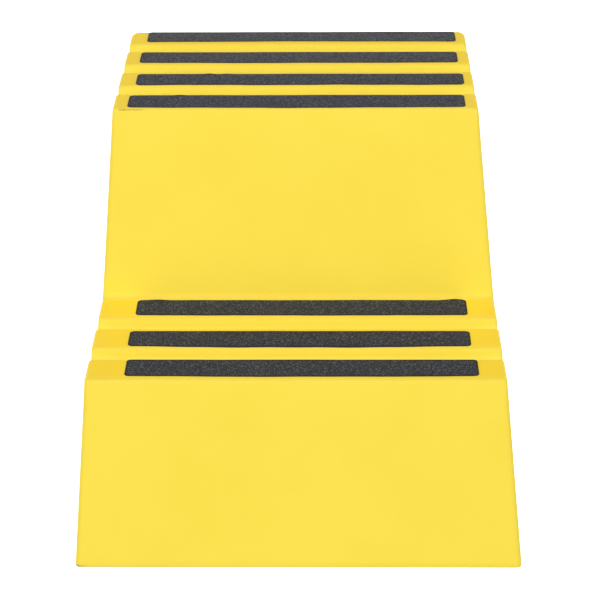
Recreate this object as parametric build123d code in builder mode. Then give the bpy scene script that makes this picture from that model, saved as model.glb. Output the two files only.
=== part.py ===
"""Two-step nesting step stand: a moulded plastic shell, grit strips and rubber foot pads.

Millimetres. X runs across the stand, +Y from the front to the rear, +Z up. The origin is on
the ground, at the centre of the footprint.
"""

from build123d import *
import os
from math import cos, radians, tan

os.makedirs("parts", exist_ok=True)

# Driving dimensions
height = 508.0
lower_rise = 254.0
base_width = 558.0
wall = 6.0
draft_angle = 5.4
lower_tread_depth = 226.0

ridge_pitch = 84.0
ridge_width = 53.0
nose_overhang = 1.5
lower_ridges = 3
upper_ridges = 4
groove_depth = 18.0

nose_radius = 5.0
ridge_radius = 4.6
groove_radius = 8.0
junction_radius = 6.0
side_edge_radius = 4.2
rim_radius = 1.5
inner_corner_radius = 2.0

strip_length = 427.0
strip_width = 42.0
strip_thickness = 0.8
strip_corner_radius = 5.5
strip_wrap = 3.0

pad_length = 90.0
pad_thickness = 8.0
pad_height = 18.0
pad_proud = 1.0
pad_side_gap = 20.0

# How each strip was laid by hand: its shift across the stand, and how far its front edge is
# behind the front corner of its ridge, counted without the overhang. The front ridge is first.
lower_strips = {"front": (7.0, 4.0), "middle": (3.5, 1.5), "rear": (5.0, 6.5)}
upper_strips = {"front": (0.5, 2.5), "second": (4.0, 2.0), "third": (1.5, 3.5), "rear": (3.5, 7.5)}

# Places that follow from them
draft = tan(radians(draft_angle))
upper_tread_depth = nose_overhang + (upper_ridges - 1) * ridge_pitch + ridge_width
base_depth = lower_tread_depth + upper_tread_depth + 2 * height * draft
front_foot = -base_depth / 2
rear_foot = base_depth / 2
lower_nose = front_foot + lower_rise * draft
riser_foot = lower_nose + lower_tread_depth
upper_nose = riser_foot + (height - lower_rise) * draft
rear_top = rear_foot - height * draft
below_ground = -20.0


def groove(front, top):
    """Four corners of the groove that starts at y = front in a tread at z = top."""
    rear = front + ridge_pitch - ridge_width
    side = groove_depth * draft
    floor = top - groove_depth
    return [(front, top), (front + side, floor), (rear - side, floor), (rear, top)]


def profile_corners():
    """Corners of the side profile and their radii, from the front foot to the rear foot.

    Each corner is (y, z, radius), and the radius is negative where the outline turns inwards.
    The two feet lie below the ground, on the drafted walls.
    """
    corners = [(front_foot + below_ground * draft, below_ground, 0.0)]
    corners.append((lower_nose, lower_rise, nose_radius))
    groove_radii = (ridge_radius, -groove_radius, -groove_radius, ridge_radius)
    for index in range(lower_ridges - 1):
        start = lower_nose + nose_overhang + ridge_width + index * ridge_pitch
        for (y, z), radius in zip(groove(start, lower_rise), groove_radii):
            corners.append((y, z, radius))
    corners.append((riser_foot, lower_rise, -junction_radius))
    corners.append((upper_nose, height, nose_radius))
    for index in range(upper_ridges - 1):
        start = upper_nose + nose_overhang + ridge_width + index * ridge_pitch
        for (y, z), radius in zip(groove(start, height), groove_radii):
            corners.append((y, z, radius))
    corners.append((rear_top, height, ridge_radius))
    corners.append((rear_foot - below_ground * draft, below_ground, 0.0))
    return corners


def moved_line(start, end, inset):
    """The line from start to end, moved to the right of its direction by inset."""
    along = (Vector(*end) - Vector(*start)).normalized()
    shift = Vector(along.Y, -along.X) * inset
    return Vector(*start) + shift, along


def inset_path(inset):
    """Corner points and radii of the side profile, moved into the material by inset."""
    corners = profile_corners()
    flat = [(y, z) for y, z, _ in corners]
    lines = [moved_line(a, b, inset) for a, b in zip(flat, flat[1:])]
    points = [lines[0][0]]
    for (origin_a, along_a), (origin_b, along_b) in zip(lines, lines[1:]):
        gap = origin_b - origin_a
        turn = along_a.X * along_b.Y - along_a.Y * along_b.X
        travel = (gap.X * along_b.Y - gap.Y * along_b.X) / turn
        points.append(origin_a + along_a * travel)
    last_origin, last_along = lines[-1]
    length = (Vector(*flat[-1]) - Vector(*flat[-2])).length
    points.append(last_origin + last_along * length)
    radii = []
    for _, _, radius in corners[1:-1]:
        if radius > 0:
            radii.append(max(radius - inset, inner_corner_radius))
        else:
            radii.append(inset - radius)
    return points, radii


def drafted_block(inset):
    """The stand's outer shape, moved in by inset on every wall and tread."""
    points, radii = inset_path(inset)
    half_foot = base_width / 2 - inset / cos(radians(draft_angle))
    with BuildPart() as block:
        with BuildSketch(Plane.YZ):
            with BuildLine():
                FilletPolyline(*[(p.X, p.Y) for p in points], radius=radii)
                Line((points[-1].X, points[-1].Y), (points[0].X, points[0].Y))
            make_face()
        extrude(amount=base_width, both=True)
        with BuildSketch(Plane.XZ):
            with BuildLine():
                Polyline(
                    (-half_foot + below_ground * draft, below_ground),
                    (half_foot - below_ground * draft, below_ground),
                    (half_foot - (height + wall) * draft, height + wall),
                    (-half_foot + (height + wall) * draft, height + wall),
                    close=True,
                )
            make_face()
        extrude(amount=base_depth, both=True, mode=Mode.INTERSECT)
    return block.part


def save(piece, name):
    """Label a finished piece and write it as one STEP file."""
    piece.part.label = name
    export_step(piece.part, f"parts/{name}.step")


# Moulded shell: drafted walls, open underneath, with the ridges hollow from below
with BuildPart() as step_body:
    add(drafted_block(0.0))
    side_faces = faces().sort_by(Axis.X)
    side_edges = ShapeList(side_faces[0].edges() + side_faces[-1].edges())
    fillet(side_edges.sort_by(Axis.Z)[2:], radius=side_edge_radius)
    split(bisect_by=Plane.XY.offset(pad_proud), keep=Keep.TOP)
    rim_edges = faces().sort_by(Axis.Z)[0].edges()
    fillet(rim_edges, radius=rim_radius)
    add(drafted_block(wall), mode=Mode.SUBTRACT)
save(step_body, "step_body")

# Grit strips: adhesive tape that follows the top of its ridge
with BuildPart() as tape_layer:
    add(drafted_block(-strip_thickness))
    add(drafted_block(0.0), mode=Mode.SUBTRACT)


def grit_strip(name, tread, nose, ridge, lay):
    """One strip on the ridge counted from the nose of the tread at z = tread."""
    shift, setback = lay
    centre = nose + nose_overhang + ridge * ridge_pitch + setback + strip_width / 2
    with BuildPart() as strip:
        with BuildSketch(Plane.XY.offset(tread - strip_wrap)):
            with Locations((shift, centre)):
                RectangleRounded(strip_length, strip_width, strip_corner_radius)
        extrude(amount=strip_wrap + strip_thickness)
        add(tape_layer.part, mode=Mode.INTERSECT)
    save(strip, name)


for ridge, (place, lay) in enumerate(lower_strips.items()):
    grit_strip(f"lower_strip_{place}", lower_rise, lower_nose, ridge, lay)
for ridge, (place, lay) in enumerate(upper_strips.items()):
    grit_strip(f"upper_strip_{place}", height, upper_nose, ridge, lay)

# Rubber foot pads: bars bonded inside the front and rear walls, just proud of the rim
inner_inset = wall / cos(radians(draft_angle))
inner_width = base_width - 2 * inner_inset
inner_depth = base_depth - 2 * inner_inset
pad_centre = inner_width / 2 - pad_side_gap - pad_length / 2
for end, y_side in (("front", -1), ("rear", 1)):
    for hand, x_side in (("left", -1), ("right", 1)):
        with BuildPart() as foot_pad:
            with BuildSketch():
                Rectangle(inner_width, inner_depth)
            extrude(amount=pad_height, taper=draft_angle)
            with BuildSketch():
                Rectangle(inner_width, inner_depth - 2 * pad_thickness)
            extrude(amount=pad_height, taper=draft_angle, mode=Mode.SUBTRACT)
            with Locations((x_side * pad_centre, y_side * inner_depth / 2)):
                Box(pad_length, 4 * pad_thickness, 3 * pad_height, mode=Mode.INTERSECT)
        save(foot_pad, f"foot_pad_{end}_{hand}")
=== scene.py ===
"""Looks of the two-step stand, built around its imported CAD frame.

Metres, in the frame of the CAD model: X across, +Y from front to rear, +Z up, ground at z = 0.
"""

from math import ceil, cos, pi, radians, sin, tan

import bpy
import numpy as np
from mathutils import Matrix, Vector
from mathutils.geometry import delaunay_2d_cdt


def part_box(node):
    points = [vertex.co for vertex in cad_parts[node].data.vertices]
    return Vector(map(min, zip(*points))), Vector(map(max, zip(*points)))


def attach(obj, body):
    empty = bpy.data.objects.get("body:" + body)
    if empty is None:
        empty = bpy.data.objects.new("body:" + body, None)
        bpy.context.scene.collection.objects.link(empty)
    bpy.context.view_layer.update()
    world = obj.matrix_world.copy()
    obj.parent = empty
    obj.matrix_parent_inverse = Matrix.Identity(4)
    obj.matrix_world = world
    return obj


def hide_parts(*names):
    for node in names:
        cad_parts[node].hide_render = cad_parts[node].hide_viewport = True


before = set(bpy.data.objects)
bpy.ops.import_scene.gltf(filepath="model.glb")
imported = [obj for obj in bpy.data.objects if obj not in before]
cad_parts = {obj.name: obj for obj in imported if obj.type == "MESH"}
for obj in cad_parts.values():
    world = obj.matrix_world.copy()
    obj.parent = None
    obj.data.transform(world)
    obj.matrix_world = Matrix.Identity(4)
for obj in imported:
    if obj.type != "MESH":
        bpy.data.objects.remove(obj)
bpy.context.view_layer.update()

# The moulded shell, as the CAD model draws it
DRAFT = radians(5.4)
TILT = tan(DRAFT)
WALL = 0.006
LOWER_DEPTH = 0.226
RIDGE_PITCH = 0.084
RIDGE_WIDTH = 0.053
NOSE_OVERHANG = 0.0015
LOWER_RIDGES = 3
UPPER_RIDGES = 4
GROOVE_DEPTH = 0.018
NOSE_RADIUS = 0.005
RIDGE_RADIUS = 0.0046
GROOVE_RADIUS = 0.008
JUNCTION_RADIUS = 0.006
RIM_RADIUS = 0.0015
INNER_RADIUS = 0.002
TAPE = 0.0008
TAPE_CORNER = 0.0055

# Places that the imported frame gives
body_low, body_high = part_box("step_body")
RIM = body_low.z
HEIGHT = body_high.z
LOWER_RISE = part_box("lower_strip_front")[1].z - TAPE
SKIN_FOOT = RIM + RIM_RADIUS
HALF_BASE = body_high.x + SKIN_FOOT * TILT
FRONT_FOOT = body_low.y - SKIN_FOOT * TILT
REAR_FOOT = body_high.y + SKIN_FOOT * TILT
LOWER_NOSE = FRONT_FOOT + LOWER_RISE * TILT
RISER_FOOT = LOWER_NOSE + LOWER_DEPTH
UPPER_NOSE = RISER_FOOT + (HEIGHT - LOWER_RISE) * TILT
REAR_TOP = REAR_FOOT - HEIGHT * TILT

# How finely the shell is drawn
CELL = 0.008
SUPPORT = 0.0012
EDGE_SUPPORT = 0.0003
ARC_STEPS = 8
FILLET_STEPS = 8
PANEL_CELL = 0.014
PANEL_CLEARANCE = 0.45
WELD_DISTANCE = 1e-9
RIM_STEPS = 4

# A straight run of the profile is a wall, front, rear or riser, if it is this long and this steep,
# and it stands on the ground if one of its ends is this low
WALL_LENGTH = 0.1
WALL_STEEPNESS = 0.9
NEAR_GROUND = 0.01

# Rounding of the shell's side edges: larger down the upright corners than on the treads
TREAD_EDGE = 0.0042
UPRIGHT_EDGE = 0.0065
EDGE_BLEND = 0.035
INNER_TREAD_EDGE = 0.0016
INNER_UPRIGHT_EDGE = 0.003

# Rounding of the two rear corners seen from above, on top of the edge's own, and how far in from
# the side it draws the wall along
REAR_CORNER = 0.014
REAR_CORNER_REACH = 0.060
REAR_CELL = 0.002

# Painted shade and wear along the side edges, against 1 along the noses, the ridges and the foot of
# the riser
SIDE_WEAR_AND_SHADE = 0.2

# How the moulding leans to its left as it rises, and how far its cooled panels have drawn in
LEAN = -0.0078
RIPPLE = 0.00012
RISER_DISH = 0.0012
PANEL_DISH = 0.0015
PANEL_DISH_REACH = 0.09

# The ripple's waves: how fast each turns along x, y and z, and where it starts
RIPPLE_WAVES = ((31, 17, 0, 1.3), (-29, 0, 23, 0.4), (0, 41, 13, 2.1), (47, 11, -19, 0.0))

# The "below_tread" attribute: its value away from the treads and their grooves, how far in from
# the side walls it starts, and how deep it goes
OFF_TREAD = -0.01
TREAD_MARGIN = TREAD_EDGE / 4
TREAD_REACH = GROOVE_DEPTH + 3 * RIPPLE


def smooth(value):
    """0 to 1 with a soft start and end."""
    value = np.clip(value, 0.0, 1.0)
    return value * value * (3 - 2 * value)


def unit(vectors):
    """The same vectors at length 1."""
    return vectors / np.linalg.norm(vectors, axis=-1, keepdims=True)


# ---------------------------------------------------------------- side profile


def groove(front, top):
    """Four corners of the groove that starts at y = front in a tread at z = top."""
    rear = front + RIDGE_PITCH - RIDGE_WIDTH
    side = GROOVE_DEPTH * TILT
    floor = top - GROOVE_DEPTH
    return [(front, top), (front + side, floor), (rear - side, floor), (rear, top)]


def profile_corners():
    """Corners (y, z) and radii of the side profile, front to rear; a negative radius turns in."""
    radii = (RIDGE_RADIUS, -GROOVE_RADIUS, -GROOVE_RADIUS, RIDGE_RADIUS)
    corners = [((FRONT_FOOT, 0.0), 0.0)]
    treads = ((LOWER_NOSE, LOWER_RISE, LOWER_RIDGES), (UPPER_NOSE, HEIGHT, UPPER_RIDGES))
    for nose, top, ridges in treads:
        if nose == UPPER_NOSE:
            corners.append(((RISER_FOOT, LOWER_RISE), -JUNCTION_RADIUS))
        corners.append(((nose, top), NOSE_RADIUS))
        for index in range(ridges - 1):
            start = nose + NOSE_OVERHANG + RIDGE_WIDTH + index * RIDGE_PITCH
            corners.extend(zip(groove(start, top), radii))
    corners.append(((REAR_TOP, HEIGHT), RIDGE_RADIUS))
    corners.append(((REAR_FOOT, 0.0), 0.0))
    return corners


def inset_corners(inset):
    """The profile's corners moved into the material by inset, with their new radii."""
    corners = profile_corners()
    points = np.array([point for point, _ in corners])
    along = unit(np.diff(points, axis=0))
    inward = np.stack([along[:, 1], -along[:, 0]], axis=1)
    moved = [points[0] + inward[0] * inset]
    for index in range(1, len(points) - 1):
        middle = unit(inward[index - 1] + inward[index])
        moved.append(points[index] + middle * inset / (middle @ inward[index]))
    moved.append(points[-1] + inward[-1] * inset)
    radii = []
    for _, radius in corners:
        radii.append(max(radius - inset, INNER_RADIUS) if radius > 0 else radius - inset)
    if inset == 0.0:
        radii = [radius for _, radius in corners]
    return np.array(moved), radii


def spaced(length, cell):
    """Fractions of a run, with a short cell at each end so that it shades flat in between."""
    if length < 4 * SUPPORT:
        return np.array((0.0, 0.5, 1.0))
    count = max(2, ceil(length / cell))
    inner = np.linspace(SUPPORT, length - SUPPORT, count)
    return np.concatenate(([0.0], inner, [length])) / length


STATION_LISTS = ("place", "normal", "convex", "wear_and_shade", "upright", "middle")


class Stations:
    """The side profile as a row of places: where each is, its normal, and what it is part of."""

    def __init__(self, inset):
        corners, radii = inset_corners(inset)
        along = unit(np.diff(corners, axis=0))
        self.place, self.normal, self.convex, self.wear_and_shade = [], [], [], []
        self.upright, self.middle = [], []
        cuts = [np.zeros(1)]
        for index in range(1, len(corners) - 1):
            cross = along[index - 1][0] * along[index][1] - along[index - 1][1] * along[index][0]
            turn = abs(np.arcsin(np.clip(cross, -1, 1)))
            cuts.append(abs(radii[index]) * tan(turn / 2))
        cuts.append(np.zeros(1))
        for index, direction in enumerate(along):
            start = corners[index] + direction * cuts[index]
            end = corners[index + 1] - direction * cuts[index + 1]
            self.add_run(start, end, direction)
            if index + 1 < len(along):
                self.add_arc(end, direction, along[index + 1], radii[index + 1])
        for name in STATION_LISTS:
            setattr(self, name, np.array(getattr(self, name)))
        self.start_at(SKIN_FOOT)

    def add(self, place, normal, convex, wear_and_shade, upright, middle):
        self.place.append(place)
        self.normal.append(normal)
        self.convex.append(convex)
        self.wear_and_shade.append(wear_and_shade)
        self.upright.append(upright)
        self.middle.append(middle)

    def add_run(self, start, end, direction):
        """A straight run; a long upright one notes how far each place is from its ends."""
        length = np.linalg.norm(end - start)
        is_wall = length > WALL_LENGTH and abs(direction[1]) > WALL_STEEPNESS
        normal = np.array([-direction[1], direction[0]])
        fractions = spaced(length, CELL)
        if end[0] > REAR_TOP - 2 * RIDGE_RADIUS and not is_wall:
            fractions = spaced(length, REAR_CELL)
        first_wall = start[1] < NEAR_GROUND
        last_wall = end[1] < NEAR_GROUND
        keep = slice(0 if first_wall else 1, None if last_wall else -1)
        for fraction in fractions[keep]:
            to_start = 1.0 if first_wall else fraction * length
            to_end = 1.0 if last_wall else (1 - fraction) * length
            upright = min(to_start, to_end) if is_wall else 0.0
            middle = sin(pi * fraction) ** 2 if is_wall else 0.0
            self.add(start + direction * fraction * length, normal, False, 0.0, upright, middle)

    def add_arc(self, start, before, after, radius):
        """A rounded corner from one run to the next."""
        first = np.array([-before[1], before[0]])
        last = np.array([-after[1], after[0]])
        centre = start - first * radius
        whole = np.arccos(np.clip(first @ last, -1, 1))
        for step in range(ARC_STEPS + 1):
            part = step / ARC_STEPS
            normal = sin((1 - part) * whole) * first + sin(part * whole) * last
            normal = normal / sin(whole)
            # Rounded edges and the riser's foot get painted shade with some wear, strongest mid-arc
            wear_and_shade = sin(pi * part) if radius > 0 or radius == -JUNCTION_RADIUS else 0.0
            self.add(centre + normal * radius, normal, radius > 0, wear_and_shade, 0.0, 0.0)

    def start_at(self, level):
        """Move the first and the last place up their walls to a height, and drop what is below."""
        for end, step in ((0, 1), (-1, -1)):
            while self.place[end + step][1] < level + SUPPORT:
                self.drop(end + step)
            lean = self.place[end + step] - self.place[end]
            self.place[end] += lean * (level - self.place[end][1]) / lean[1]

    def drop(self, index):
        for name in STATION_LISTS:
            setattr(self, name, np.delete(getattr(self, name), index, axis=0))


outer_stations = Stations(0.0)


# ---------------------------------------------------------------- shell


def ripple(places):
    """How far the moulded skin has drawn in at these places: slow waves, never outwards."""
    waves = [np.sin(places @ np.array(turns, float) + start) for *turns, start in RIPPLE_WAVES]
    return RIPPLE * (sum(waves) + len(waves)) / len(waves)


def leaned(places):
    """Places on the moulding after it has leaned."""
    return places + np.outer(places[:, 2] * LEAN, (1.0, 0.0, 0.0))


def rounded_rear(places):
    """Places on the moulding with its two rear corners rounded in plan."""
    x, y, z = places[:, 0], places[:, 1], places[:, 2]
    from_rear = np.clip(REAR_FOOT - z * TILT - y, 0.0, REAR_CORNER)
    drawn_in = REAR_CORNER - np.sqrt(REAR_CORNER ** 2 - (REAR_CORNER - from_rear) ** 2)
    from_side = HALF_BASE - z * TILT - np.abs(x)
    share = smooth(1.0 - from_side / REAR_CORNER_REACH)
    return places - np.outer(np.sign(x) * share * drawn_in, (1.0, 0.0, 0.0))


def edge_radius(stations, tread, upright):
    """Radius of the side edge at each station, larger down the upright corners."""
    return tread + (upright - tread) * smooth(stations.upright / EDGE_BLEND)


class Skin:
    """One face of the shell as a grid across the profile, with a triangulated panel each side."""

    def __init__(self, inset, tread_edge, upright_edge, dished):
        stations = outer_stations if inset == 0.0 else Stations(inset)
        half = HALF_BASE - inset / cos(DRAFT)
        radius = edge_radius(stations, tread_edge, upright_edge)
        self.verts, self.wear_and_shade, self.faces = [], [], []
        self.build_grid(stations, half, radius, dished)
        self.build_panels(half, dished)
        self.verts = np.concatenate(self.verts)
        self.wear_and_shade = np.concatenate(self.wear_and_shade)

    def build_grid(self, stations, half, radius, dished):
        """The flat of each station and the rounded edge at its right, mirrored to its left."""
        count = len(stations.place)
        normal = np.column_stack([np.zeros(count), stations.normal])
        side = np.array([cos(DRAFT), 0.0, sin(DRAFT)])
        centre_yz = stations.place - stations.normal * radius[:, None]
        centre_x = half - centre_yz[:, 1] * TILT - radius / cos(DRAFT)
        centre = np.column_stack([centre_x, centre_yz])
        fractions = 2 * spaced(2 * HALF_BASE, CELL) - 1
        columns = []
        for fraction in fractions:
            place = np.column_stack([centre_x * fraction, stations.place])
            dish = stations.middle * (1 - fraction * fraction) ** 2
            columns.append((place, normal, dish, stations.wear_and_shade))
        whole = np.arccos(normal @ side)[:, None]
        edges = []
        for step in range(1, FILLET_STEPS + 1):
            part = step / FILLET_STEPS
            turned = np.sin((1 - part) * whole) * normal + np.sin(part * whole) * side
            turned = turned / np.sin(whole)
            # The side edges take a smaller share of the painted edge shade and wear
            wear_and_shade = np.maximum(stations.wear_and_shade, SIDE_WEAR_AND_SHADE * sin(pi * part))
            edges.append((centre + turned * radius[:, None], turned, 0 * radius, wear_and_shade))
        # One more column on the side panel keeps the panel's shading flat
        last_place = edges[-1][0]
        inward = unit(-(normal - (normal @ side)[:, None] * side))
        reach = np.where(stations.convex, EDGE_SUPPORT, SUPPORT)[:, None]
        edges.append((last_place + inward * reach, side + 0 * normal, 0 * radius, 0 * radius))
        mirror = np.array([-1.0, 1.0, 1.0])
        left = [(p * mirror, n * mirror, d, w) for p, n, d, w in reversed(edges)]
        columns = left + columns + edges
        places = np.stack([column[0] for column in columns], axis=1)
        normals = np.stack([column[1] for column in columns], axis=1)
        dishes = np.stack([column[2] for column in columns], axis=1)
        wear_and_shade = np.stack([column[3] for column in columns], axis=1)
        places[0, :, 2] = SKIN_FOOT
        places[-1, :, 2] = SKIN_FOOT
        self.rows, self.columns = places.shape[:2]
        self.edge_line = places[:, -1, 1:].copy()
        if dished:
            places = places - normals * (ripple(places) + RISER_DISH * dishes)[..., None]
        self.verts.append(places.reshape(-1, 3))
        self.wear_and_shade.append(wear_and_shade.reshape(-1))
        for row in range(self.rows - 1):
            for column in range(self.columns - 1):
                a = row * self.columns + column
                self.faces.append((a, a + 1, a + 1 + self.columns, a + self.columns))

    def build_panels(self, half, dished):
        """The two side walls, each filled with triangles between the rounded edge and the foot."""
        edge = self.edge_line
        foot_fractions = spaced(REAR_FOOT - FRONT_FOOT, PANEL_CELL)[1:-1]
        foot_y = edge[0][0] + foot_fractions * (edge[-1][0] - edge[0][0])
        foot = np.column_stack([foot_y, np.full(len(foot_y), SKIN_FOOT)])
        outline = np.concatenate([edge, foot[::-1]])
        inside = panel_grid(outline)
        flat = np.concatenate([outline, inside])
        ring = list(range(len(outline)))
        found = delaunay_2d_cdt([Vector(p) for p in flat], [], [ring], 1, WELD_DISTANCE)
        source = [origins[0] for origins in found[3]]
        triangles = [[source[i] for i in face] for face in found[2]]
        extra = flat[len(edge):]
        depth = PANEL_DISH * smooth(distance_to(outline, extra) / PANEL_DISH_REACH)
        for sign in (1, -1):
            wall_normal = np.array([sign * cos(DRAFT), 0.0, sin(DRAFT)])
            places = np.column_stack([sign * (half - extra[:, 1] * TILT), extra])
            if dished:
                places = places - wall_normal * (ripple(places) + depth)[:, None]
            start = sum(len(block) for block in self.verts)
            self.verts.append(places)
            self.wear_and_shade.append(np.zeros(len(places)))
            column = self.columns - 1 if sign > 0 else 0
            names = [row * self.columns + column for row in range(self.rows)]
            names += list(range(start, start + len(extra)))
            feet = list(range(start, start + len(foot)))[::-1]
            if sign > 0:
                self.right_feet = feet
            else:
                self.left_feet = feet
            for triangle in triangles:
                a, b, c = flat[triangle]
                rising = (b[0] - a[0]) * (c[1] - a[1]) - (b[1] - a[1]) * (c[0] - a[0])
                order = triangle if (rising > 0) == (sign > 0) else triangle[::-1]
                self.faces.append(tuple(names[i] for i in order))

    def foot_loop(self):
        """Vertices round the foot: front row, right foot, rear row, left foot."""
        front = list(range(self.columns))
        rear = [(self.rows - 1) * self.columns + column for column in range(self.columns)]
        return front + self.right_feet + rear[::-1] + self.left_feet[::-1]


def distance_to(outline, points):
    """Distance from each point to a closed outline."""
    start, end = outline, np.roll(outline, -1, axis=0)
    run = end - start
    to_point = points[:, None, :] - start[None, :, :]
    part = np.clip((to_point * run).sum(-1) / (run * run).sum(-1), 0, 1)
    return np.linalg.norm(to_point - part[..., None] * run, axis=-1).min(axis=1)


def panel_grid(outline):
    """Grid points inside an outline, clear of its edge."""
    low, high = outline.min(axis=0), outline.max(axis=0)
    ys = np.arange(low[0], high[0], PANEL_CELL)
    zs = np.arange(low[1], high[1], PANEL_CELL * sin(pi / 3))
    points = []
    for row, z in enumerate(zs):
        shift = PANEL_CELL / 2 * (row % 2)
        points.extend((y + shift, z) for y in ys)
    points = np.array(points)
    start, end = outline, np.roll(outline, -1, axis=0)
    above = (start[:, 1] > points[:, None, 1]) != (end[:, 1] > points[:, None, 1])
    rise = np.where(end[:, 1] == start[:, 1], 1.0, end[:, 1] - start[:, 1])
    crossing = start[:, 0] + (points[:, None, 1] - start[:, 1]) * (end[:, 0] - start[:, 0]) / rise
    inside = (above & (points[:, None, 0] < crossing)).sum(axis=1) % 2 == 1
    points = points[inside]
    return points[distance_to(outline, points) > PANEL_CELL * PANEL_CLEARANCE]


def below_tread(places):
    """How far places on the outer skin lie below their tread, or OFF_TREAD away from the treads."""
    x, y, z = places[:, 0], places[:, 1], places[:, 2]
    on_lower = (y > LOWER_NOSE + NOSE_RADIUS) & (y < RISER_FOOT - JUNCTION_RADIUS)
    on_upper = (y > UPPER_NOSE + NOSE_RADIUS) & (y < REAR_TOP - RIDGE_RADIUS)
    in_from_side = HALF_BASE - z * TILT - np.abs(x) > TREAD_MARGIN
    depth = np.where(on_lower, LOWER_RISE - z, HEIGHT - z)
    near_tread = (on_lower | on_upper) & in_from_side & (depth < TREAD_REACH)
    return np.where(near_tread, depth, OFF_TREAD)


def build_shell():
    """The whole moulding: outer skin, inner skin, and a rounded rim that joins them."""
    outer = Skin(0.0, TREAD_EDGE, UPRIGHT_EDGE, True)
    inner = Skin(WALL, INNER_TREAD_EDGE, INNER_UPRIGHT_EDGE, False)
    verts = [outer.verts, inner.verts]
    wear_and_shade = [outer.wear_and_shade, 0 * inner.wear_and_shade]
    first_inner = len(outer.verts)
    faces = list(outer.faces)
    outer_face_count = len(faces)
    faces += [tuple(first_inner + i for i in reversed(face)) for face in inner.faces]
    outer_loop = outer.foot_loop()
    inner_loop = [first_inner + i for i in inner.foot_loop()]
    outer_at = outer.verts[outer.foot_loop()]
    inner_at = inner.verts[inner.foot_loop()]
    across = unit(inner_at - outer_at)
    down = np.array([0.0, 0.0, -1.0])
    loops = [outer_loop]
    next_vert = first_inner + len(inner.verts)
    angles = [pi / 2 * step / RIM_STEPS for step in range(1, RIM_STEPS + 1)]
    bends = [(outer_at, across, angle) for angle in angles]
    bends += [(inner_at, -across, angle) for angle in reversed(angles)]
    for base, towards, angle in bends:
        ring = base + RIM_RADIUS * (towards * (1 - cos(angle)) + down * sin(angle))
        verts.append(ring)
        # The rim's rounding takes the full painted edge shade and wear
        wear_and_shade.append(np.full(len(ring), 1.0))
        loops.append(list(range(next_vert, next_vert + len(ring))))
        next_vert += len(ring)
    loops.append(inner_loop)
    size = len(outer_loop)
    for near, far in zip(loops, loops[1:]):
        for i in range(size):
            j = (i + 1) % size
            faces.append((near[i], far[i], far[j], near[j]))
    mesh = bpy.data.meshes.new("Moulded_Body")
    mesh.from_pydata(leaned(rounded_rear(np.concatenate(verts))).tolist(), [], faces)
    mesh.shade_smooth()
    add_attribute(mesh, "wear_and_shade", np.concatenate(wear_and_shade))
    depth = np.full(len(mesh.vertices), OFF_TREAD)
    depth[:first_inner] = below_tread(outer.verts)
    add_attribute(mesh, "below_tread", depth)
    inner_faces = range(outer_face_count, outer_face_count + len(inner.faces))
    for index in inner_faces:
        mesh.polygons[index].material_index = 1
    return new_object("Moulded_Body", mesh)


def add_attribute(mesh, name, values):
    """A number on each vertex, for the materials."""
    attribute = mesh.attributes.new(name, "FLOAT", "POINT")
    attribute.data.foreach_set("value", np.asarray(values, np.float32))


def title_of(node):
    """The name of the piece that replaces a CAD node."""
    return "_".join(word.capitalize() for word in node.split("_"))


def new_object(name, mesh):
    """Link a mesh to the scene as an object at the origin."""
    piece = bpy.data.objects.new(name, mesh)
    bpy.context.scene.collection.objects.link(piece)
    return piece


# ---------------------------------------------------------------- grit strips

# Mesh cell of the tape, height of its grains, how far its underside lies in the skin, the drop
# at its edge, and how many points round off each of its corners
GRAIN = 0.0009
GRIT_HEIGHT = 0.00016
TAPE_SINK = 0.00012
TAPE_BEVEL = 0.0001
CORNER_STEPS = 9

# The wander of a hand-laid edge: its size, and each wave's rate, share and start against the seed
EDGE_WANDER = 0.0002
WANDER_WAVES = ((7, 1.0, 1.0), (19, 0.6, 2.7))
REAR_WANDER = 1.9

# The strips' seeds: the first one's, and the step from each to the next
FIRST_SEED = 0.7
SEED_STEP = 1.3
FIRST_DRAW = 100

# Each strip as it was laid: how much its front, rear, left and right edges stray outwards from
# the CAD outline and how far its front edge bows forward, then its bumps as (place along the
# rear edge from -1 to 1, half length, how far it stands out)
STRIP_LAY = {
    "lower_strip_front": ((-0.0034, 0.0038, 0.0011, 0.0015, 0.0018), []),
    "lower_strip_middle": ((-0.0015, 0.0005, 0.0003, 0.0003, 0.0018), []),
    "lower_strip_rear": (
        (0.0002, 0.0015, -0.0006, -0.0002, 0.0008),
        [(0.93, 0.06, 0.0028), (-0.88, 0.06, 0.0018)],
    ),
    "upper_strip_front": ((-0.0001, 0.0010, -0.0004, 0.0011, 0.0015), [(-0.70, 0.03, 0.0016)]),
    "upper_strip_second": (
        (-0.0002, -0.0013, -0.0006, 0.0009, 0.0),
        [(-0.56, 0.03, 0.0022), (-0.45, 0.03, 0.0014)],
    ),
    "upper_strip_third": ((-0.0012, 0.0013, -0.0011, 0.0002, 0.0010), []),
    "upper_strip_rear": ((0.0004, -0.0002, -0.0023, 0.0002, -0.0020), []),
}


def tape_place(plan, height):
    """Points above the shell's skin over the given plan points, height along its normal."""
    profile = outer_stations.place
    normal_y = np.interp(plan[:, 1], profile[:, 0], outer_stations.normal[:, 0])
    normal_z = np.interp(plan[:, 1], profile[:, 0], outer_stations.normal[:, 1])
    normal = unit(np.column_stack([0 * normal_y, normal_y, normal_z]))
    level = np.interp(plan[:, 1], profile[:, 0], profile[:, 1])
    place = np.column_stack([plan, level])
    return place + normal * (height - ripple(place))[:, None]


def edge_stray(along, seed):
    """Slow wander of a hand-laid edge, along from -1 to 1."""
    waves = [share * np.sin(rate * along + start * seed) for rate, share, start in WANDER_WAVES]
    return EDGE_WANDER * sum(waves)


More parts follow.
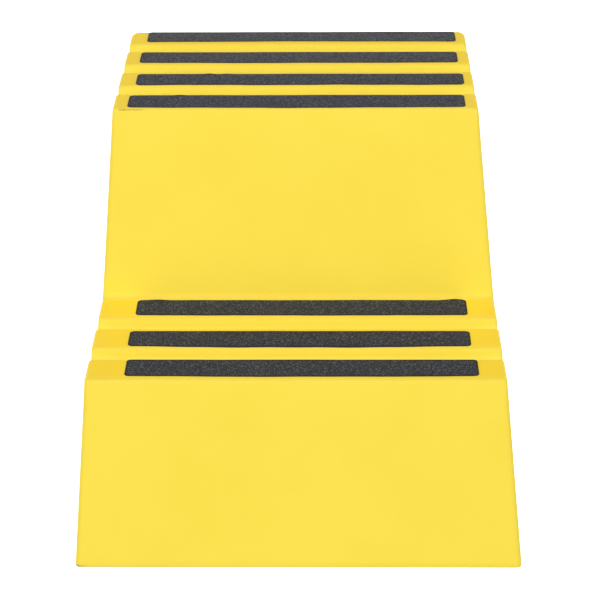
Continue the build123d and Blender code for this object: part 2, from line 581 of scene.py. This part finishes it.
def build_strip(node, seed):
    """One strip of grit tape over its ridge: a closed sheet with rough top and bevelled edge."""
    low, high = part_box(node)
    (front_extra, rear_extra, left_extra, right_extra, bow), bumps = STRIP_LAY[node]
    left, right = low.x - left_extra, high.x + right_extra
    centre, half = (left + right) / 2, (right - left) / 2
    turn = np.linspace(0, pi / 2, CORNER_STEPS)
    corner = TAPE_CORNER * (1 - np.sin(turn[::-1]))
    body = np.linspace(TAPE_CORNER, 2 * half - TAPE_CORNER, ceil(2 * half / GRAIN))
    offset = np.concatenate([corner, body[1:-1], 2 * half - corner[::-1]])
    along = offset / half - 1
    near_end = np.minimum(offset, 2 * half - offset)
    inset = np.maximum(TAPE_CORNER - near_end, 0)
    pull = TAPE_CORNER - np.sqrt(TAPE_CORNER ** 2 - inset ** 2)
    front = low.y - front_extra - bow * (1 - along ** 2) + edge_stray(along, seed) + pull
    rear = high.y + rear_extra + edge_stray(along, seed + REAR_WANDER) - pull
    for place, reach, amount in bumps:
        rear = rear + amount * np.exp(-(((along - place) / reach) ** 2))
    rows = ceil((high.y - low.y) / GRAIN) + 1
    part = np.linspace(0, 1, rows)
    plan_x = np.repeat(centre - half + offset, rows)
    plan_y = (front[:, None] + (rear - front)[:, None] * part).reshape(-1)
    plan = np.column_stack([plan_x, plan_y])
    count = len(offset)
    edge = np.zeros((count, rows), bool)
    edge[[0, -1], :] = True
    edge[:, [0, -1]] = True
    edge = edge.reshape(-1)
    dice = np.random.default_rng(FIRST_DRAW + int(seed * 10))
    grit = GRIT_HEIGHT * dice.random(count * rows)
    # The highest grains end where the CAD tape does
    top_height = np.where(edge, TAPE - GRIT_HEIGHT - TAPE_BEVEL, TAPE - GRIT_HEIGHT + grit)
    top = tape_place(plan, top_height)
    bottom = tape_place(plan, np.full(count * rows, -TAPE_SINK))
    faces = []
    for i in range(count - 1):
        for j in range(rows - 1):
            a = i * rows + j
            faces.append((a, a + rows, a + rows + 1, a + 1))
    lower = count * rows
    faces += [tuple(lower + i for i in reversed(face)) for face in faces]
    ring = [i * rows for i in range(count)]
    ring += [(count - 1) * rows + j for j in range(1, rows)]
    ring += [i * rows + rows - 1 for i in range(count - 2, -1, -1)]
    ring += [j for j in range(rows - 2, 0, -1)]
    for a, b in zip(ring, ring[1:] + ring[:1]):
        faces.append((a, lower + a, lower + b, b))
    mesh = bpy.data.meshes.new(node)
    mesh.from_pydata(leaned(np.concatenate([top, bottom])).tolist(), [], faces)
    mesh.shade_smooth()
    to_front = plan_y - np.repeat(front, rows)
    to_rear = np.repeat(rear, rows) - plan_y
    to_edge = np.minimum(np.minimum(to_front, to_rear), np.repeat(near_end, rows))
    add_attribute(mesh, "to_edge", np.concatenate([to_edge, to_edge]))
    return new_object(title_of(node), mesh)


# ---------------------------------------------------------------- foot pads

RIB_COUNT = 9
RIB_DEPTH = 0.0016
RIB_GAP = 0.0028
PAD_BEVEL = 0.0007
PAD_BEVEL_SEGMENTS = 3
PAD_SHARP = radians(40)


def build_pad(node):
    """One ribbed rubber bar that follows the drafted wall behind it."""
    low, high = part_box(node)
    front = node.split("_")[2] == "front"
    lean = TILT if front else -TILT
    depth = (high.y - low.y) - (high.z - low.z) * TILT
    base_y = low.y if front else high.y - depth
    pitch = (high.x - low.x + RIB_GAP) / RIB_COUNT
    xs = []
    for rib in range(RIB_COUNT):
        start = low.x + rib * pitch
        xs += [start, start + pitch - RIB_GAP]
    levels = [low.z, low.z + RIB_DEPTH, high.z]
    verts, faces, index = [], [], {}

    def corner(column, level, back):
        key = (column, level, back)
        if key not in index:
            z = levels[level]
            index[key] = len(verts)
            verts.append((xs[column], base_y + (z - low.z) * lean + back * depth, z))
        return index[key]

    def panel(*keys):
        faces.append(tuple(corner(*key) for key in keys))

    last = len(xs) - 1
    for column in range(last):
        right = column + 1
        panel((column, 1, 0), (right, 1, 0), (right, 2, 0), (column, 2, 0))
        panel((right, 1, 1), (column, 1, 1), (column, 2, 1), (right, 2, 1))
        panel((column, 2, 0), (right, 2, 0), (right, 2, 1), (column, 2, 1))
        # Odd columns are the gaps between the ribs, where the underside is higher
        if column % 2:
            panel((column, 1, 0), (column, 1, 1), (right, 1, 1), (right, 1, 0))
            continue
        panel((column, 0, 0), (right, 0, 0), (right, 1, 0), (column, 1, 0))
        panel((right, 0, 1), (column, 0, 1), (column, 1, 1), (right, 1, 1))
        panel((column, 0, 0), (column, 0, 1), (right, 0, 1), (right, 0, 0))
        panel((column, 0, 1), (column, 0, 0), (column, 1, 0), (column, 1, 1))
        panel((right, 0, 0), (right, 0, 1), (right, 1, 1), (right, 1, 0))
    panel((0, 1, 1), (0, 1, 0), (0, 2, 0), (0, 2, 1))
    panel((last, 1, 0), (last, 1, 1), (last, 2, 1), (last, 2, 0))
    mesh = bpy.data.meshes.new(title_of(node))
    mesh.from_pydata(verts, [], faces)
    mesh.shade_smooth()
    piece = new_object(title_of(node), mesh)
    bevel = piece.modifiers.new("Moulded_Edges", "BEVEL")
    bevel.width = PAD_BEVEL
    bevel.segments = PAD_BEVEL_SEGMENTS
    bevel.limit_method = "ANGLE"
    bevel.angle_limit = PAD_SHARP
    bevel.harden_normals = True
    return piece


# ---------------------------------------------------------------- materials


def map_range(tree, low, high, to_low, to_high):
    """A node that maps low..high to another range, softly."""
    node = tree.nodes.new("ShaderNodeMapRange")
    node.interpolation_type = "SMOOTHSTEP"
    node.inputs["From Min"].default_value = low
    node.inputs["From Max"].default_value = high
    node.inputs["To Min"].default_value = to_low
    node.inputs["To Max"].default_value = to_high
    return node


# The colour sockets of a Mix node, which share their names with its other sockets
MIX_FIRST = 6
MIX_SECOND = 7
MIX_RESULT = 2


class Shader:
    """A node material with a Principled shader, and short calls to add and join nodes."""

    def __init__(self, name):
        self.material = bpy.data.materials.new(name)
        self.material.use_nodes = True
        self.tree = self.material.node_tree
        self.surface = self.tree.nodes["Principled BSDF"]
        self.place = self.add("ShaderNodeTexCoord").outputs["Object"]

    def add(self, kind, **settings):
        node = self.tree.nodes.new(kind)
        for name, value in settings.items():
            setattr(node, name, value)
        return node

    def put(self, socket, value):
        """Join a socket to an output, or set its value."""
        if isinstance(value, bpy.types.NodeSocket):
            self.tree.links.new(value, socket)
        else:
            socket.default_value = value

    def noise(self, size, detail):
        """Noise from 0 to 1 whose features are about size across."""
        node = self.add("ShaderNodeTexNoise")
        node.inputs["Scale"].default_value = 1.0 / size
        node.inputs["Detail"].default_value = detail
        self.put(node.inputs["Vector"], self.place)
        return node.outputs["Fac"]

    def grains(self, size):
        """A random number for each grain of about this size."""
        node = self.add("ShaderNodeTexVoronoi")
        node.inputs["Scale"].default_value = 1.0 / size
        self.put(node.inputs["Vector"], self.place)
        split = self.add("ShaderNodeSeparateColor")
        self.put(split.inputs["Color"], node.outputs["Color"])
        return split.outputs["Red"]

    def math(self, operation, first, second=0.0):
        node = self.add("ShaderNodeMath", operation=operation)
        self.put(node.inputs[0], first)
        self.put(node.inputs[1], second)
        return node.outputs["Value"]

    def product(self, *factors):
        """Several factors multiplied, the first two first."""
        result = factors[0]
        for factor in factors[1:]:
            result = self.math("MULTIPLY", result, factor)
        return result

    def span(self, value, low, high, to_low=0.0, to_high=1.0):
        """Map low..high of a value to another range, softly."""
        node = map_range(self.tree, low, high, to_low, to_high)
        self.put(node.inputs["Value"], value)
        return node.outputs["Result"]

    def band(self, value, start, full, fade, end):
        """1 while a value is between full and fade, and softly down to 0 at start and at end."""
        return self.product(self.span(value, start, full), self.span(value, fade, end, *FADE))

    def mix(self, amount, first, second):
        """Mix two colours."""
        node = self.add("ShaderNodeMix", data_type="RGBA")
        self.put(node.inputs["Factor"], amount)
        self.put(node.inputs[MIX_FIRST], first)
        self.put(node.inputs[MIX_SECOND], second)
        return node.outputs[MIX_RESULT]

    def attribute(self, name):
        node = self.add("ShaderNodeAttribute", attribute_name=name)
        return node.outputs["Fac"]

    def axes(self):
        split = self.add("ShaderNodeSeparateXYZ")
        self.put(split.inputs["Vector"], self.place)
        return split.outputs["X"], split.outputs["Y"], split.outputs["Z"]

    def bump(self, height, distance, strength=1.0, under=None):
        node = self.add("ShaderNodeBump")
        node.inputs["Strength"].default_value = strength
        node.inputs["Distance"].default_value = distance
        self.put(node.inputs["Height"], height)
        if under is not None:
            self.put(node.inputs["Normal"], under)
        return node.outputs["Normal"]

    def finish(self, colour, roughness, normal):
        self.put(self.surface.inputs["Base Color"], colour)
        self.put(self.surface.inputs["Roughness"], roughness)
        self.put(self.surface.inputs["Normal"], normal)
        return self.material


# Colours of the plastic, the tape and the rubber. They were matched to the photo together with the
# lights. The tread, groove and edge yellows are painted shade and light laid over the plastic's own
# yellow, the tape's dust is partly painted sheen, and the tape's colours are bluish to make up for
# light that the plastic throws on it
YELLOW = (0.82, 0.634, 0.056, 1.0)
YELLOW_DEEP = (0.81, 0.621, 0.052, 1.0)
# Painted shade for the tread tops
YELLOW_TREAD_PAINTED_SHADE = (0.865, 0.612, 0.033, 1.0)
# Painted light for the groove walls
YELLOW_GROOVE_PAINTED_LIGHT = (0.82, 0.680, 0.076, 1.0)
# Painted shade with some wear, for the rounded edges and the rim
YELLOW_EDGE_WEAR_AND_SHADE = (0.68, 0.510, 0.040, 1.0)
YELLOW_DUSTY = (0.80, 0.57, 0.07, 1.0)
SCUFF = (0.34, 0.22, 0.015, 1.0)
# Darker specks at the front left foot
FOOT_DARKENING = (0.20, 0.155, 0.040, 1.0)
# Darker near the ground inside
INNER_LOW_DARKENING = (0.35, 0.27, 0.08, 1.0)
GRIT_DARK = (0.0145, 0.0160, 0.0205, 1.0)
GRIT_FINE = (0.039, 0.042, 0.052, 1.0)
GRIT_PALE = (0.132, 0.143, 0.175, 1.0)
# Dust with painted sheen, for the upper strips
GRIT_DUST_AND_SHEEN = (0.20, 0.185, 0.165, 1.0)
RUBBER = (0.022, 0.022, 0.023, 1.0)
RUBBER_DUST = (0.060, 0.057, 0.050, 1.0)
PLASTIC_SPECULAR = 0.3
GRIT_SPECULAR = 0.12

# Where each colour lies, as the places where it starts, is full, begins to fade and ends: the first
# two by the depth below the tread, the last by x along the nose of the upper step. The first is
# painted shade on the tread tops, the second painted light on the groove walls
TREAD_PAINTED_SHADE = (-0.002, -0.0002, 0.001, 0.002)
GROOVE_PAINTED_LIGHT = (0.002, 0.006, 0.011, 0.016)
SCUFF_ENDS = (-0.2285, -0.2235, -0.203, -0.190)

# The scuff's line on the nose: how far below the top, how far it spreads from there, how far back
# it fades, and where along it the left part gives way to a fainter right part
SCUFF_DROP = 0.0022
SCUFF_SPREAD = (0.0002, 0.0017)
SCUFF_BACK = (UPPER_NOSE + 0.004, UPPER_NOSE + 0.006)
SCUFF_FAINT = (-0.222, -0.216, 1.0, 0.5)

# The darker specks at the front left foot fade out over these stretches of z, x and y
FOOT_DARKENING_UP = (0.001, 0.006)
FOOT_DARKENING_ACROSS = (-HALF_BASE + 0.002, -HALF_BASE + 0.020)
FOOT_DARKENING_BACK = (FRONT_FOOT + 0.004, FRONT_FOOT + 0.014)

# Grain sizes of the tape, how far its plainer edge reaches in, and the stretches over which its
# dust and painted sheen come in, upwards and to the rear
COARSE_GRAIN = 0.0011
FINE_GRAIN = 0.0005
PLAIN_EDGE = (0.0005, 0.0035)
DUST_AND_SHEEN_UP = (0.3, 0.45)
DUST_AND_SHEEN_BACK = (0.0, 0.28, 0.10, 0.22)

# From all to nothing over a stretch
FADE = (1.0, 0.0)

# Noises of the plastic as (size, detail), how each one's values are spread, as the arguments of
# Shader.span, and its two reliefs as (depth, strength)
MOTTLE_NOISE = (0.09, 3.0)
MOTTLE = (0.35, 0.65)
EDGE_PATCH_NOISE = (0.012, 2.0)
EDGE_PATCHES = (0.25, 0.5, 0.85, 1.0)
FLECK_NOISE = (0.004, 2.0)
SCUFF_FLECKS = (0.25, 0.55, 0.5, 1.0)
FOOT_DARKENING_FLECKS = (0.35, 0.6)
GLOSS_NOISE = (0.03, 4.0)
PEEL_NOISE = (0.0016, 1.0)
PEEL = (0.00006, 0.35)
WAVE_NOISE = (0.008, 2.0)
WAVE = (0.0002, 0.25)

# The same for the inside, and how its darkening near the ground thins out upwards
INNER_DUST_NOISE = (0.05, 5.0)
INNER_DUST = (0.35, 0.75)
INNER_LOW_DARKENING_NOISE = (0.01, 4.0)
INNER_LOW_DARKENING_UP = (0.0, 0.05, 0.5, 0.0)
INNER_GLOSS_NOISE = (0.02, 4.0)
INNER_PEEL_NOISE = (0.0028, 3.0)
INNER_PEEL = (0.00015, 0.6)

# The same for the tape and for the rubber
FINE_GRAINS = (0.2, 1.0)
PALE_GRAINS = (0.55, 0.95)
CLUMP_NOISE = (0.003, 2.0)
CLUMPS = (0.35, 0.65, 0.25, 1.0)
DUST_AND_SHEEN_SPOT_NOISE = (0.0025, 2.0)
DUST_AND_SHEEN_SPOTS = (0.3, 0.7, 0.2, 1.8)
COARSE_RELIEF = (0.0003, 0.7)
FINE_RELIEF = (0.00015, 0.7)
RUBBER_DUST_NOISE = (0.006, 4.0)
RUBBER_DUSTY = (0.4, 0.75)
RUBBER_GLOSS_NOISE = (0.004, 3.0)
RUBBER_GRAIN_NOISE = (0.0009, 2.0)
RUBBER_RELIEF = (0.00012, 0.6)

# Roughness of each material, from its smoothest places to its roughest
NOISE_MIDDLE = (0.3, 0.7)
PLASTIC_ROUGHNESS = (0.48, 0.58)
INNER_ROUGHNESS = (0.55, 0.68)
GRIT_ROUGHNESS = (0.62, 0.90)
RUBBER_ROUGHNESS = (0.60, 0.78)


def plastic():
    """Yellow moulded polyethylene: an even satin skin with orange peel and a little wear, painted
    shade on the treads and rounded edges, and painted light on the groove walls.
    """
    shader = Shader("Yellow_Polyethylene")
    mottle = shader.noise(*MOTTLE_NOISE)
    colour = shader.mix(shader.span(mottle, *MOTTLE), YELLOW_DEEP, YELLOW)
    depth = shader.attribute("below_tread")
    # Painted shade on the tread tops
    colour = shader.mix(shader.band(depth, *TREAD_PAINTED_SHADE), colour, YELLOW_TREAD_PAINTED_SHADE)
    # Painted light on the groove walls
    colour = shader.mix(shader.band(depth, *GROOVE_PAINTED_LIGHT), colour, YELLOW_GROOVE_PAINTED_LIGHT)
    # Partly wear, partly painted shade along the rounded edges and the rim, which tones down their
    # highlights
    patchy = shader.span(shader.noise(*EDGE_PATCH_NOISE), *EDGE_PATCHES)
    edge = shader.product(shader.attribute("wear_and_shade"), patchy)
    colour = shader.mix(edge, colour, YELLOW_EDGE_WEAR_AND_SHADE)
    colour = shader.mix(scuff(shader), colour, SCUFF)
    # Darker specks at the foot of the front left corner
    colour = shader.mix(darker_foot(shader), colour, FOOT_DARKENING)
    shader.put(shader.surface.inputs["Specular IOR Level"], PLASTIC_SPECULAR)
    roughness = shader.span(shader.noise(*GLOSS_NOISE), *NOISE_MIDDLE, *PLASTIC_ROUGHNESS)
    peel = shader.bump(shader.noise(*PEEL_NOISE), *PEEL)
    normal = shader.bump(shader.noise(*WAVE_NOISE), *WAVE, peel)
    return shader.finish(colour, roughness, normal)


def scuff(shader):
    """How scuffed the plastic is: a short line near the left end of the upper nose."""
    x, y, z = shader.axes()
    off_line = shader.math("ABSOLUTE", shader.math("SUBTRACT", z, HEIGHT - SCUFF_DROP))
    line = shader.span(off_line, *SCUFF_SPREAD, *FADE)
    on_nose = shader.span(y, *SCUFF_BACK, *FADE)
    start, full, fade, end = SCUFF_ENDS
    starting = shader.span(x, start, full)
    along = shader.product(starting, shader.span(x, *SCUFF_FAINT), shader.span(x, fade, end, *FADE))
    broken = shader.span(shader.noise(*FLECK_NOISE), *SCUFF_FLECKS)
    return shader.product(line, on_nose, along, broken)


def darker_foot(shader):
    """How much darker the plastic is made in specks at the foot of the front left corner."""
    x, y, z = shader.axes()
    low_down = shader.span(z, *FOOT_DARKENING_UP, *FADE)
    at_corner = shader.span(x, *FOOT_DARKENING_ACROSS, *FADE)
    in_front = shader.span(y, *FOOT_DARKENING_BACK, *FADE)
    specks = shader.span(shader.noise(*FLECK_NOISE), *FOOT_DARKENING_FLECKS)
    return shader.product(low_down, at_corner, in_front, specks)


def plastic_inside():
    """The same polyethylene inside the shell: duller and a little dusty."""
    shader = Shader("Yellow_Polyethylene_Inside")
    z = shader.axes()[2]
    dust = shader.span(shader.noise(*INNER_DUST_NOISE), *INNER_DUST)
    colour = shader.mix(dust, YELLOW_DEEP, YELLOW_DUSTY)
    # Darker towards the ground, in a noisy pattern
    near_ground = shader.product(shader.span(z, *INNER_LOW_DARKENING_UP), shader.noise(*INNER_LOW_DARKENING_NOISE))
    colour = shader.mix(near_ground, colour, INNER_LOW_DARKENING)
    roughness = shader.span(shader.noise(*INNER_GLOSS_NOISE), *NOISE_MIDDLE, *INNER_ROUGHNESS)
    normal = shader.bump(shader.noise(*INNER_PEEL_NOISE), *INNER_PEEL)
    return shader.finish(colour, roughness, normal)


def grit_tape():
    """Charcoal abrasive tape: dark grains with scattered pale ones, plainer along its edge."""
    shader = Shader("Charcoal_Grit")
    grain = shader.grains(COARSE_GRAIN)
    fine = shader.grains(FINE_GRAIN)
    clump = shader.noise(*CLUMP_NOISE)
    colour = shader.mix(shader.span(fine, *FINE_GRAINS), GRIT_DARK, GRIT_FINE)
    clumped = shader.span(clump, *CLUMPS)
    inside = shader.span(shader.attribute("to_edge"), *PLAIN_EDGE)
    pale = shader.product(shader.span(grain, *PALE_GRAINS), clumped, inside)
    colour = shader.mix(pale, colour, GRIT_PALE)
    # Partly dust, partly painted sheen: lighter on the upper tread towards the rear
    colour = shader.mix(tread_dust_and_sheen(shader), colour, GRIT_DUST_AND_SHEEN)
    shader.put(shader.surface.inputs["Specular IOR Level"], GRIT_SPECULAR)
    roughness = shader.span(fine, 0.0, 1.0, *GRIT_ROUGHNESS)
    coarse = shader.bump(grain, *COARSE_RELIEF)
    normal = shader.bump(fine, *FINE_RELIEF, coarse)
    return shader.finish(colour, roughness, normal)


def tread_dust_and_sheen(shader):
    """How much dust and painted sheen lighten the tape: only on the upper tread, and most towards
    the rear.
    """
    y, z = shader.axes()[1:]
    spots = shader.span(shader.noise(*DUST_AND_SHEEN_SPOT_NOISE), *DUST_AND_SHEEN_SPOTS)
    return shader.product(shader.span(z, *DUST_AND_SHEEN_UP), shader.span(y, *DUST_AND_SHEEN_BACK), spots)


def rubber():
    """Dark grey rubber with a fine matt texture and dust on it."""
    shader = Shader("Dark_Rubber")
    dust = shader.span(shader.noise(*RUBBER_DUST_NOISE), *RUBBER_DUSTY)
    colour = shader.mix(dust, RUBBER, RUBBER_DUST)
    roughness = shader.span(shader.noise(*RUBBER_GLOSS_NOISE), *NOISE_MIDDLE, *RUBBER_ROUGHNESS)
    normal = shader.bump(shader.noise(*RUBBER_GRAIN_NOISE), *RUBBER_RELIEF)
    return shader.finish(colour, roughness, normal)


# ---------------------------------------------------------------- studio

CAMERA_AT = (0.0362, -2.4780, 1.4135)
CAMERA_YAW = radians(-0.840)
CAMERA_PITCH = radians(25.707)
CAMERA_ROLL = radians(-0.389)
CAMERA_LENS = 123.32
CAMERA_SENSOR = 36.0
FLOOR_HALF = 50.0
SKY_FRONT = 1.59
SKY_BACK = 0.16
BACKDROP_GLOW = 1.05
GROUND_GLOW = 0.43
FLOOR_GLOW = 0.9
KEY_POWER = 35.0
SIDE_POWER = 40.0
KEY_SIZE = 2.4
SIDE_SIZE = 1.6
KEY_AT = (-0.5, -2.8, 2.8)
SIDE_AT = (3.2, 2.2, 0.7)
LIGHTS_AIM = (0.0, 0.0, 0.25)
FLOOR_COLOUR = (0.8, 0.8, 0.8, 1.0)
FLOOR_ROUGHNESS = 0.9
WHITE = (1.0, 1.0, 1.0, 1.0)
FAR_CLIP = 100.0

# Stretches of the sky over which its parts blend, by direction: up from the ground, and from the
# front to the back, and up the backdrop
HORIZON_BLEND = (-0.1, -0.01)
BACK_BLEND = (-0.7, 0.5)
BACKDROP_BLEND = (0.1, 0.5)


def add_camera():
    """A long lens at standing height, looking down at the front of the stand."""
    data = bpy.data.cameras.new("Camera")
    data.lens = CAMERA_LENS
    data.sensor_width = CAMERA_SENSOR
    data.clip_end = FAR_CLIP
    camera = bpy.data.objects.new("Camera", data)
    bpy.context.scene.collection.objects.link(camera)
    run = cos(CAMERA_PITCH)
    ahead = Vector((sin(CAMERA_YAW) * run, cos(CAMERA_YAW) * run, -sin(CAMERA_PITCH)))
    level = Vector((cos(CAMERA_YAW), -sin(CAMERA_YAW), 0.0))
    above = level.cross(ahead)
    right = level * cos(CAMERA_ROLL) + above * sin(CAMERA_ROLL)
    up = above * cos(CAMERA_ROLL) - level * sin(CAMERA_ROLL)
    turn = Matrix((right, up, -ahead)).transposed()
    camera.matrix_world = Matrix.Translation(CAMERA_AT) @ turn.to_4x4()
    bpy.context.scene.camera = camera


def add_light(name, place, target, size, power):
    """A square soft box aimed at a point."""
    data = bpy.data.lights.new(name, "AREA")
    data.size = size
    data.energy = power
    light = bpy.data.objects.new(name, data)
    light.location = place
    light.rotation_euler = (Vector(target) - Vector(place)).to_track_quat("-Z", "Y").to_euler()
    bpy.context.scene.collection.objects.link(light)


def add_floor():
    """A white floor that glows a little, as a light table does, so that it stays pure white."""
    mesh = bpy.data.meshes.new("Floor")
    far = FLOOR_HALF
    corners = [(-far, -far, 0), (far, -far, 0), (far, far, 0), (-far, far, 0)]
    mesh.from_pydata(corners, [], [(0, 1, 2, 3)])
    floor = new_object("Floor", mesh)
    material = bpy.data.materials.new("White_Floor")
    material.use_nodes = True
    surface = material.node_tree.nodes["Principled BSDF"]
    surface.inputs["Base Color"].default_value = FLOOR_COLOUR
    surface.inputs["Roughness"].default_value = FLOOR_ROUGHNESS
    surface.inputs["Specular IOR Level"].default_value = 0.0
    surface.inputs["Emission Color"].default_value = WHITE
    surface.inputs["Emission Strength"].default_value = FLOOR_GLOW
    mesh.materials.append(material)
    floor.visible_diffuse = False
    floor.visible_glossy = False


def add_world():
    """Soft light: bright in front, dim high behind, a glowing backdrop low behind, grey below."""
    world = bpy.data.worlds.new("World")
    world.use_nodes = True
    tree = world.node_tree
    toward = tree.nodes.new("ShaderNodeTexCoord")
    split = tree.nodes.new("ShaderNodeSeparateXYZ")
    tree.links.new(toward.outputs["Generated"], split.inputs["Vector"])
    rising = map_range(tree, *HORIZON_BLEND, 0.0, 1.0)
    tree.links.new(split.outputs["Z"], rising.inputs["Value"])
    backdrop = map_range(tree, *BACKDROP_BLEND, BACKDROP_GLOW, SKY_BACK)
    tree.links.new(split.outputs["Z"], backdrop.inputs["Value"])
    backward = map_range(tree, *BACK_BLEND, SKY_FRONT, SKY_BACK)
    tree.links.new(backdrop.outputs["Result"], backward.inputs["To Max"])
    tree.links.new(split.outputs["Y"], backward.inputs["Value"])
    below = tree.nodes.new("ShaderNodeMix")
    below.inputs["A"].default_value = GROUND_GLOW
    tree.nodes["Background"].inputs["Color"].default_value = WHITE
    tree.links.new(rising.outputs["Result"], below.inputs["Factor"])
    tree.links.new(backward.outputs["Result"], below.inputs["B"])
    tree.links.new(below.outputs["Result"], tree.nodes["Background"].inputs["Strength"])
    bpy.context.scene.world = world


# ---------------------------------------------------------------- the stand

shell = build_shell()
shell.data.materials.append(plastic())
shell.data.materials.append(plastic_inside())
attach(shell, "root")
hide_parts("step_body")

tape = grit_tape()
for number, node in enumerate(STRIP_LAY):
    strip = build_strip(node, FIRST_SEED + SEED_STEP * number)
    strip.data.materials.append(tape)
    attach(strip, "root")
    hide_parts(node)

pad_rubber = rubber()
for node in sorted(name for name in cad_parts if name.startswith("foot_pad")):
    pad = build_pad(node)
    pad.data.materials.append(pad_rubber)
    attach(pad, "root")
    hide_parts(node)

add_floor()
add_world()
add_camera()
side_x, side_y, side_z = SIDE_AT
add_light("Key_Light", KEY_AT, LIGHTS_AIM, KEY_SIZE, KEY_POWER)
add_light("Left_Side_Light", (-side_x, side_y, side_z), LIGHTS_AIM, SIDE_SIZE, SIDE_POWER)
add_light("Right_Side_Light", (side_x, side_y, side_z), LIGHTS_AIM, SIDE_SIZE, SIDE_POWER)
bpy.context.scene.view_settings.view_transform = "Standard"
